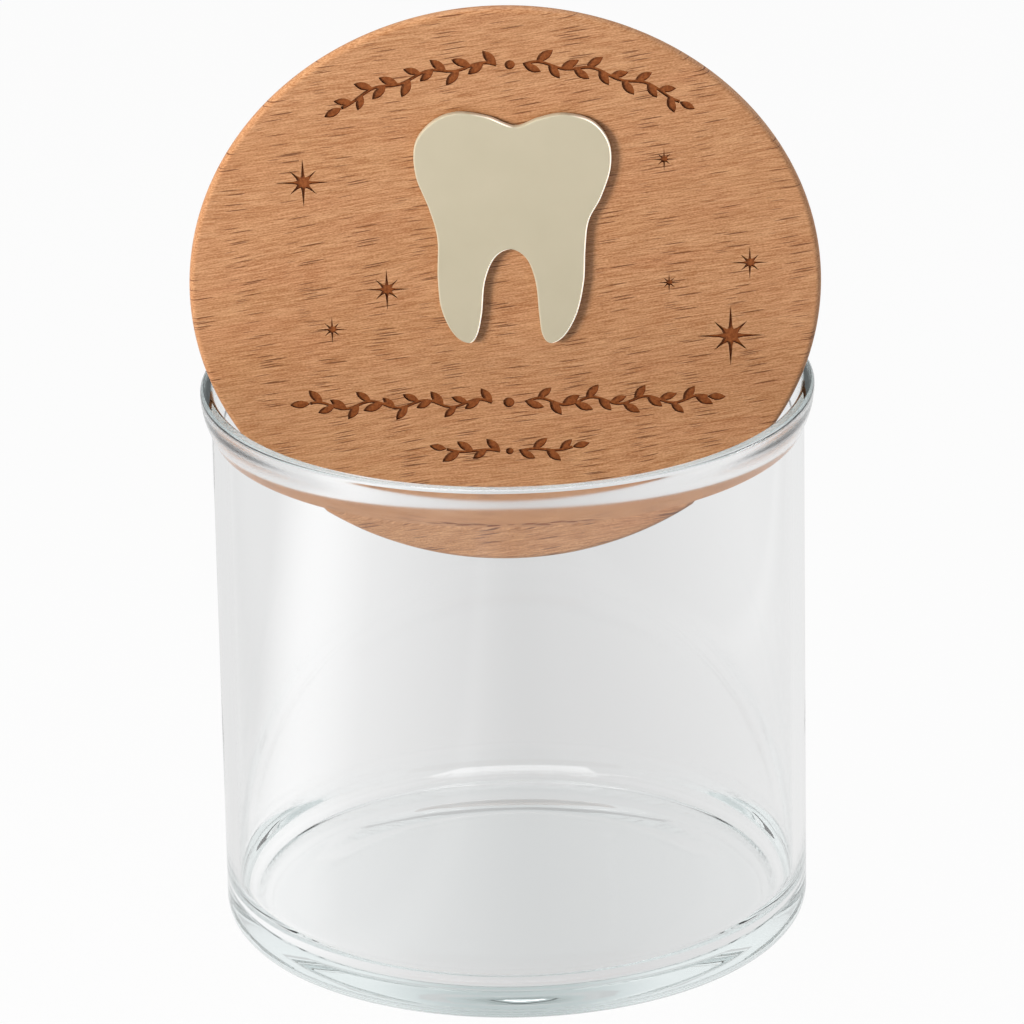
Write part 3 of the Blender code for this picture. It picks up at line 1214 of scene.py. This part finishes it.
    def engrave(
        self, work: BMesh, ring: list[BMVert], marks: list[list[Point]]
    ) -> None:
        """Fill the opening of the face with a flat sheet and sink the marks into it.

        Args:
            work: Mesh of the lid, in its own frame.
            ring: Corners of the opening, in order.
            marks: Corners of each flat piece of a mark.
        """
        height = ring[0].co.z
        drawn: list[Vector] = []
        loops: list[list[int]] = []
        for outline in [[corner.co.to_2d() for corner in ring]] + marks:
            start = len(drawn)
            drawn += [Vector((x / MM, y / MM)) for x, y in outline]
            loops.append(list(range(start, len(drawn))))
        points, _, faces, sources, _, owners = delaunay_2d_cdt(
            drawn, [], loops, 1, self.cut_tolerance
        )
        corners = []
        for point, source in zip(points, sources):
            on_ring = [index for index in source if index < len(ring)]
            corners.append(
                ring[on_ring[0]] if on_ring
                else work.verts.new((point.x * MM, point.y * MM, height))
            )
        sunk = []
        for face, owner in zip(faces, owners):
            flat = work.faces.new([corners[index] for index in face])
            flat.smooth = True
            flat.material_index = Mark.FACE.value
            if any(index > 0 for index in owner):
                flat.material_index = Mark.FLOOR.value
                sunk.append(flat)
        edges = list(dict.fromkeys(edge for flat in sunk for edge in flat.edges))
        pushed = bmesh.ops.extrude_face_region(work, geom=sunk + edges)["geom"]
        lowered = [item for item in pushed if isinstance(item, BMVert)]
        bmesh.ops.translate(work, verts=lowered, vec=(0.0, 0.0, -self.depth))
        low = set(lowered)
        for face in work.faces:
            if 0 < sum(corner in low for corner in face.verts) < len(face.verts):
                face.material_index = Mark.WALL.value
                face.smooth = True


# --- Lid ---


@dataclass
class BeechLid:
    """The lid board: a rounded disc with a plug and a groove on its back, standing in the jar."""

    jar: GlassJar
    diameter: float = 105.0 * MM
    face_round: float = 1.0 * MM
    face_margin: float = 0.15 * MM
    side_land: float = 0.3 * MM
    land_round: float = 0.2 * MM
    bevel_width: float = 2.0 * MM
    bevel_height: float = 3.0 * MM
    bevel_round: float = 0.4 * MM
    plug_depth: float = 8.0 * MM
    plug_clearance: float = 1.2 * MM
    plug_chamfer: float = 0.7 * MM
    plug_round: float = 0.25 * MM
    plug_margin: float = 1.0 * MM
    groove_width: float = 4.0 * MM
    groove_depth: float = 2.0 * MM
    groove_setback: float = 2.0 * MM
    round_steps: int = 10
    lean: float = math.radians(9.8)
    seat_forward: float = 1.49 * MM
    seat_clearance: float = 0.32 * MM
    seat_steps: tuple[int, int] = (4, 6)
    finish: PlanedBeech = field(default_factory=PlanedBeech)
    floor_finish: ScorchedBeech = ScorchedBeech("scorched_beech", "9C5A30", "743C1C")
    # The walls of the marks are painted darker than their floors: partly the beam's char, partly
    # painted shade in the recesses.
    wall_char_and_shade_finish: ScorchedBeech = ScorchedBeech("charred_beech", "5C2A10", "3A1606")
    engraving: Engraving = field(default_factory=Engraving)

    @property
    def radius(self) -> float:
        """Radius of the lid's widest circle."""
        return self.diameter / 2

    @property
    def plug_radius(self) -> float:
        """Radius of the plug."""
        return self.jar.inner_radius - self.plug_clearance

    @property
    def groove_radius(self) -> float:
        """Radius of the groove's bottom."""
        return self.plug_radius - self.groove_depth

    @property
    def back(self) -> float:
        """Height of the board's back in the lid's own frame, whose zero is its widest circle."""
        return -(self.side_land + self.bevel_height)

    @property
    def groove_top(self) -> float:
        """Height of the groove's upper side in the lid's own frame."""
        return self.back - self.groove_setback

    @property
    def place(self) -> Matrix:
        """Place of the lid, whose own +Z is the way the face looks and whose +Y is up the face.

        Returns:
            The place where the lid's edge rests on both sides of the lip.
        """
        edge_height = self.jar.lip_edge_height
        rise = 0.0
        for radius, height in self.jar.inner_mouth(*self.seat_steps):
            forward = self.seat_forward - (edge_height - height) * math.tan(self.lean)
            half_width = math.sqrt(radius ** 2 - forward ** 2) - self.seat_clearance
            up = (height - edge_height) / math.cos(self.lean)
            rise = max(rise, up + math.sqrt(max(self.radius ** 2 - half_width ** 2, 0.0)))
        forward = -self.seat_forward - rise * math.sin(self.lean)
        seat = Matrix.Translation((0.0, forward, edge_height + rise * math.cos(self.lean)))
        return seat @ Euler((math.pi / 2 + self.lean, 0.0, 0.0)).to_matrix().to_4x4()

    def section(self) -> list[Point]:
        """Draw the lid's section.

        Returns:
            Points from the middle of the face outwards, round the edge and over the plug.
        """
        plug_end = self.back - self.plug_depth
        plug_edge = self.plug_radius - self.plug_chamfer
        groove_bottom = self.groove_top - self.groove_width
        rounding = self.radius - self.face_round
        points = [(0.0, self.face_round), (rounding - self.face_margin, self.face_round)]
        points += arc((rounding, 0.0), self.face_round, 90, 0, self.round_steps)
        land_end = len(points)
        corners = {land_end: self.land_round, land_end + 1: self.bevel_round}
        points += [(self.radius, -self.side_land), (self.radius - self.bevel_width, self.back)]
        corners.update({len(points) + index: self.plug_round for index in range(7)})
        points += [
            (self.plug_radius, self.back), (self.plug_radius, self.groove_top),
            (self.groove_radius, self.groove_top), (self.groove_radius, groove_bottom),
            (self.plug_radius, groove_bottom), (self.plug_radius, plug_end + self.plug_chamfer),
            (plug_edge, plug_end), (plug_edge - self.plug_margin, plug_end), (0.0, plug_end),
        ]
        return soften(points, corners)

    def build(self, lathe: Lathe) -> Object:
        """Turn, engrave and dress the lid board.

        Args:
            lathe: Turns the section.

        Returns:
            The finished piece.
        """
        board = self.finish.build(self.place)
        scorched, charred_and_shaded = self.floor_finish.build(), self.wall_char_and_shade_finish.build()
        piece = lathe.turn("engraved_beech_lid", self.section(), board)
        piece.data.materials.append(scorched)
        piece.data.materials.append(charred_and_shaded)
        work = bmesh.new()
        work.from_mesh(piece.data)
        middle = [
            corner for corner in work.verts
            if corner.co.z > self.face_round - WELD and corner.co.to_2d().length < WELD
        ]
        bmesh.ops.delete(work, geom=middle, context="VERTS")
        ring = [corner for corner in work.verts if corner.is_boundary]
        ring.sort(key=lambda corner: math.atan2(corner.co.y, corner.co.x))
        self.engraving.engrave(work, ring, self.engraving.outlines(scorched))
        face_outwards(work)
        work.transform(self.place)
        work.to_mesh(piece.data)
        work.free()
        piece.data.set_sharp_from_angle(angle=CREASE)
        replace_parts(piece, "lid_board")
        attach(piece, Body.LID.value)
        return piece


@dataclass
class SealRing:
    """The soft ring in the plug's groove: a flat back and two fins."""

    lid: BeechLid
    clearance: float = 0.3 * MM
    wall_clearance: float = 0.2 * MM
    back_thickness: float = 0.9 * MM
    fin_thickness: float = 0.7 * MM
    fin_root: float = 1.05 * MM
    edge_round: float = 0.2 * MM
    finish: MouldedSilicone = field(default_factory=MouldedSilicone)

    def section(self) -> list[Point]:
        """Draw the ring's closed section.

        Returns:
            Points round the section.
        """
        top = self.lid.groove_top - self.clearance
        bottom = self.lid.groove_top - self.lid.groove_width + self.clearance
        back = self.lid.groove_radius + self.clearance
        front = back + self.back_thickness
        tip = self.lid.jar.inner_radius - self.wall_clearance
        middle = (top + bottom) / 2
        fin, root = self.fin_thickness, self.fin_root
        points = [
            (back, top), (front, top), (tip, top), (tip, top - fin), (front, top - root),
            (front, middle - fin / 4), (tip, middle - fin / 2), (tip, middle - root),
            (front, bottom), (back, bottom),
        ]
        rounded = [index for index in range(len(points)) if index != 1]
        return soften(points, dict.fromkeys(rounded, self.edge_round))

    def build(self, lathe: Lathe) -> Object:
        """Turn and dress the ring.

        Args:
            lathe: Turns the section.

        Returns:
            The finished piece.
        """
        piece = lathe.turn("silicone_ring", self.section(), self.finish.build(), closed=True)
        piece.data.transform(self.lid.place)
        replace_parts(piece, "seal_ring")
        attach(piece, Body.LID.value)
        return piece


@dataclass
class ToothPlate:
    """The plate on the lid's face, cut to the plain outline of a molar, with an eased front edge.

    The outline is given clockwise, as shares of the width and the height from its middle.
    """

    lid: BeechLid
    width: float = 32.5 * MM
    height: float = 43.7 * MM
    thickness: float = 1.0 * MM
    edge_round: float = 0.25 * MM
    edge_steps: int = 6
    edge_margin: float = 0.12 * MM
    back_round: float = 0.12 * MM
    back_steps: int = 3
    back_margin: float = 0.1 * MM
    right_of_middle: float = 1.45 * MM
    above_middle: float = 12.1 * MM
    glue: float = 0.3 * MM
    curve_steps: int = 12
    shares: tuple[Point, ...] = (
        (0.018, 0.438), (0.139, 0.470), (0.265, 0.487), (0.407, 0.455), (0.490, 0.370),
        (0.500, 0.258), (0.450, 0.132), (0.386, 0.030), (0.367, -0.094), (0.358, -0.231),
        (0.321, -0.368), (0.256, -0.466), (0.185, -0.500), (0.142, -0.466), (0.126, -0.379),
        (0.111, -0.237), (0.068, -0.132), (-0.012, -0.087), (-0.096, -0.123), (-0.148, -0.226),
        (-0.167, -0.368), (-0.194, -0.460), (-0.238, -0.493), (-0.312, -0.454), (-0.373, -0.345),
        (-0.389, -0.208), (-0.386, -0.037), (-0.426, 0.096), (-0.488, 0.237), (-0.488, 0.370),
        (-0.401, 0.461), (-0.275, 0.500), (-0.123, 0.482),
    )
    finish: CutAcrylic = field(default_factory=CutAcrylic)

    def outline(self) -> list[Vector]:
        """Draw the tooth's outline on the face.

        Returns:
            Points round the tooth.
        """
        anchors = [
            (self.right_of_middle + self.width * across, self.above_middle + self.height * up)
            for across, up in self.shares
        ]
        return closed_curve(anchors, self.curve_steps)

    def drawn_in(self, outline: list[Vector], inset: float, height: float) -> list[Triple]:
        """Draw the outline in.

        Args:
            outline: Points round the tooth.
            inset: How far each point moves inwards.
            height: Height of the points.

        Returns:
            The moved points.
        """
        moved = []
        for index, here in enumerate(outline):
            along = outline[(index + 1) % len(outline)] - outline[index - 1]
            point = here + Vector((along.y, -along.x)).normalized() * inset
            moved.append((point.x, point.y, height))
        return moved

    def levels(self) -> list[Point]:
        """Tell how the plate's side runs.

        Returns:
            Inset and height of each level, from the back to the front.
        """
        back = self.lid.face_round + self.glue
        front = back + self.thickness
        levels = [(self.back_round + self.back_margin, back)]
        for step in range(self.back_steps + 1):
            turn = math.pi / 2 * step / self.back_steps
            inset, rise = 1 - math.sin(turn), 1 - math.cos(turn)
            levels.append((self.back_round * inset, back + self.back_round * rise))
        for step in range(self.edge_steps + 1):
            turn = math.pi / 2 * step / self.edge_steps
            inset, fall = 1 - math.cos(turn), 1 - math.sin(turn)
            levels.append((self.edge_round * inset, front - self.edge_round * fall))
        return levels + [(self.edge_round + self.edge_margin, front)]

    def build(self) -> Object:
        """Cut and dress the plate.

        Returns:
            The finished piece.
        """
        outline, levels = self.outline(), self.levels()
        count = len(outline)
        corners, faces = [], []
        for inset, height in levels:
            corners += self.drawn_in(outline, inset, height)
        for start in range(0, (len(levels) - 1) * count, count):
            for index in range(count):
                here, following = start + index, start + (index + 1) % count
                faces.append((here, following, following + count, here + count))
        faces.append(tuple(range(count))[::-1])
        faces.append(tuple(range((len(levels) - 1) * count, len(levels) * count)))
        mesh = bpy.data.meshes.new("acrylic_tooth_plate")
        mesh.from_pydata(corners, [], faces)
        mesh.materials.append(self.finish.build())
        piece = linked("acrylic_tooth_plate", mesh)
        settle(mesh, self.lid.place)
        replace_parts(piece, "tooth_plate")
        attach(piece, Body.LID.value)
        return piece


# --- Studio ---


@dataclass(frozen=True)
class Lamp:
    """A soft square lamp: where it stands as seen from the lid, in degrees and metres, its size,
    what a white surface that faces it would show, and whether glass mirrors it."""

    name: str
    azimuth: float
    elevation: float
    distance: float
    size: float
    level: float
    colour: str = "FFFFFF"
    in_glass: bool = True


@dataclass
class Studio:
    """White floor, soft lamps and the camera at the photograph's angle."""

    floor_radius: float = 4.0
    floor_corners: int = 64
    floor_drop: float = 0.05 * MM
    floor_pale: str = "DCDCDC"
    floor_deep: str = "D8D8D8"
    grit: Noise = Noise(1 / 6, 2.0)
    shine_share: float = 0.94
    ambient: float = 0.15
    painted_shade_reach: float = 60.0 * MM
    # Painted shade that only glass shows: how far it reaches across, and its tones.
    painted_shade_tones: tuple[Point, ...] = (
        (0.0, 0.79), (0.12, 1.0), (0.25, 0.85), (0.50, 0.69), (0.75, 0.737), (1.0, 0.835)
    )
    # Backdrop as glass shows it: painted greyer in the middle, paler to the sides.
    bent_middle: str = "CBD3D3"
    bent_sides: str = "F8FBFB"
    bent_reach: Point = (0.08, 0.36)
    aim: Triple = (0.0, -6 * MM, 110 * MM)
    lamps: tuple[Lamp, ...] = (
        Lamp("key_lamp", -51.0, 12.0, 1.3, 0.36, 1.15, "FFFBF5", in_glass=False),
        Lamp("top_lamp", -10.0, 84.0, 1.4, 0.9, 0.50),
        Lamp("rim_lamp", 100.0, 22.0, 1.2, 0.35, 0.20),
    )
    bounces: int = 40
    camera_elevation: float = math.radians(21.47)
    camera_distance: float = 1280.0 * MM
    camera_target: Triple = (0.377 * MM, 0.0, 72.00 * MM)
    camera_roll: float = math.radians(-1.1)
    focal_pixels: float = 7580.0
    picture_width: int = 1024
    sensor_width: float = 36.0
    clip: Point = (0.05, 50.0)

    def bent_rays(self, graph: Graph) -> tuple[Socket, Socket]:
        """Tell rays straight from the camera from those that glass has bent or thrown back.

        Args:
            graph: Nodes of the floor or the backdrop.

        Returns:
            One for a camera ray, and one for a bent ray.
        """
        path = graph.add("ShaderNodeLightPath").outputs
        kinds = path["Is Glossy Ray"], path["Is Transmission Ray"]
        through = graph.math("ADD", *kinds, clamp=True)
        # What a matt surface gathers through the glass counts as soft light, or wood near it
        # would glow.
        first = graph.math("LESS_THAN", path["Diffuse Depth"], 0.5)
        return path["Is Camera Ray"], graph.math("MULTIPLY", through, first)

    def floor_material(self) -> Material:
        """Make the white sweep.

        Returns:
            A floor that shines white to the eye, still takes a soft shadow, and through glass shows
            painted shade, greyest behind the middle.
        """
        graph = MaterialGraph("matt_white_sweep")
        grit = graph.noise(graph.place, self.grit)
        tone = graph.blend(grit, linear(self.floor_pale), linear(self.floor_deep))
        matt = graph.add("ShaderNodeBsdfDiffuse", {"Color": tone})
        straight, bent = self.bent_rays(graph)
        # Painted shade behind the jar, which only the glass shows: darkest behind the middle, paler
        # to the sides.
        reach = (-self.painted_shade_reach, self.painted_shade_reach)
        across = graph.remap(graph.split(graph.place)["X"], reach)
        painted_shade = graph.add("ShaderNodeValToRGB", {0: across})
        painted_shade.color_ramp.interpolation = "CARDINAL"
        stops = painted_shade.color_ramp.elements
        while len(stops) < len(self.painted_shade_tones):
            stops.new(0.5)
        for stop, (where, level) in zip(stops, self.painted_shade_tones):
            stop.position = where
            stop.color = (level, level, level, 1.0)
        light = graph.blend(bent, WHITE, painted_shade.outputs["Color"])
        shine = graph.add("ShaderNodeEmission", {"Color": light, "Strength": 1.0})
        share = graph.math("MULTIPLY_ADD", straight, self.shine_share, bent, clamp=True)
        return graph.finished(graph.either(share, matt, shine))

    def build_floor(self) -> None:
        """Lay the floor."""
        mesh = bpy.data.meshes.new("floor")
        work = bmesh.new()
        bmesh.ops.create_circle(
            work, cap_ends=True, segments=self.floor_corners, radius=self.floor_radius
        )
        work.to_mesh(mesh)
        work.free()
        mesh.materials.append(self.floor_material())
        floor = linked("floor", mesh)
        floor.location.z = -self.floor_drop

    def build_world(self) -> None:
        """Surround the floor with a soft white backdrop, which glass shows with painted shade,
        greyer in the middle.
        """
        world = bpy.data.worlds.new("white_backdrop")
        bpy.context.scene.world = world
        world.use_nodes = True
        graph = Graph(world.node_tree)
        output = graph.add("ShaderNodeOutputWorld")
        straight, bent = self.bent_rays(graph)
        # Through the glass the backdrop is painted greyer in the middle and pales to the sides, as
        # the painted shade on the floor does.
        bearing = graph.split(graph.add("ShaderNodeTexCoord").outputs["Generated"])["X"]
        sideways = graph.math("ABSOLUTE", bearing)
        pale = graph.remap(sideways, self.bent_reach, interpolation_type="SMOOTHSTEP")
        around = graph.blend(pale, linear(self.bent_middle), linear(self.bent_sides))
        soft = graph.blend(bent, (*(self.ambient,) * 3, 1.0), around)
        shown = graph.blend(straight, soft, WHITE)
        light = graph.add("ShaderNodeBackground", {"Color": shown, "Strength": 1.0})
        graph.link(light, output.inputs["Surface"])

    def build_lamp(self, lamp: Lamp) -> None:
        """Hang one lamp.

        Args:
            lamp: The lamp.
        """
        data = bpy.data.lights.new(lamp.name, "AREA")
        data.shape = "SQUARE"
        data.size = lamp.size
        data.energy = lamp.level * math.pi ** 2 * lamp.distance ** 2
        data.color = linear(lamp.colour)[:3]
        azimuth, elevation = math.radians(lamp.azimuth), math.radians(lamp.elevation)
        away = Vector((
            math.sin(azimuth) * math.cos(elevation),
            -math.cos(azimuth) * math.cos(elevation),
            math.sin(elevation),
        ))
        holder = linked(lamp.name, data)
        holder.location = Vector(self.aim) + away * lamp.distance
        holder.rotation_euler = (-away).to_track_quat("-Z", "Y").to_euler()
        holder.visible_camera = False
        holder.visible_transmission = False
        holder.visible_glossy = lamp.in_glass

    def build_camera(self) -> None:
        """Set the camera where the photograph was taken from."""
        data = bpy.data.cameras.new("camera")
        data.sensor_width = self.sensor_width
        data.lens = self.focal_pixels * self.sensor_width / self.picture_width
        data.clip_start, data.clip_end = self.clip
        back = Vector((0.0, -math.cos(self.camera_elevation), math.sin(self.camera_elevation)))
        right = Vector((1.0, 0.0, 0.0))
        up = right.cross(-back)
        cosine, sine = math.cos(self.camera_roll), math.sin(self.camera_roll)
        turned = (right * cosine + up * sine, -right * sine + up * cosine, back)
        place = Matrix(turned).transposed().to_4x4()
        place.translation = Vector(self.camera_target) + back * self.camera_distance
        camera = linked("camera", data)
        camera.matrix_world = place
        bpy.context.scene.camera = camera

    def build(self) -> None:
        """Build the whole studio."""
        self.build_camera()
        self.build_floor()
        self.build_world()
        for lamp in self.lamps:
            self.build_lamp(lamp)
        scene = bpy.context.scene
        scene.view_settings.view_transform = "Standard"
        # Light has to leave the thick foot and the lip, after many turns inside the glass.
        scene.cycles.max_bounces = self.bounces
        scene.cycles.glossy_bounces = self.bounces
        scene.cycles.transmission_bounces = self.bounces


# --- The whole object ---


def report(piece: Object) -> None:
    """Log a piece's triangles and how far its box lies from the box of its solid.

    Args:
        piece: The piece.
    """
    piece.data.calc_loop_triangles()
    axes = list(zip(*(corner.co for corner in piece.data.vertices)))
    box = [min(axis) for axis in axes] + [max(axis) for axis in axes]
    for node in piece.get("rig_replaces", []):
        low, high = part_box(node)
        off = max(abs(here - there) for here, there in zip(box, (*low, *high)))
        LOG.info("%s: %d triangles, %.2f mm off the box of %s",
                 piece.name, len(piece.data.loop_triangles), off / MM, node)


def main() -> None:
    """Build the studio, then the jar and each piece of its lid."""
    logging.basicConfig(level=logging.INFO, format="%(name)s: %(message)s")
    Studio().build()
    lathe = Lathe()
    jar = GlassJar()
    lid = BeechLid(jar)
    ring, tooth = SealRing(lid), ToothPlate(lid)
    for piece in (jar.build(lathe), lid.build(lathe), ring.build(lathe), tooth.build()):
        report(piece)


if __name__ == "__main__":
    main()
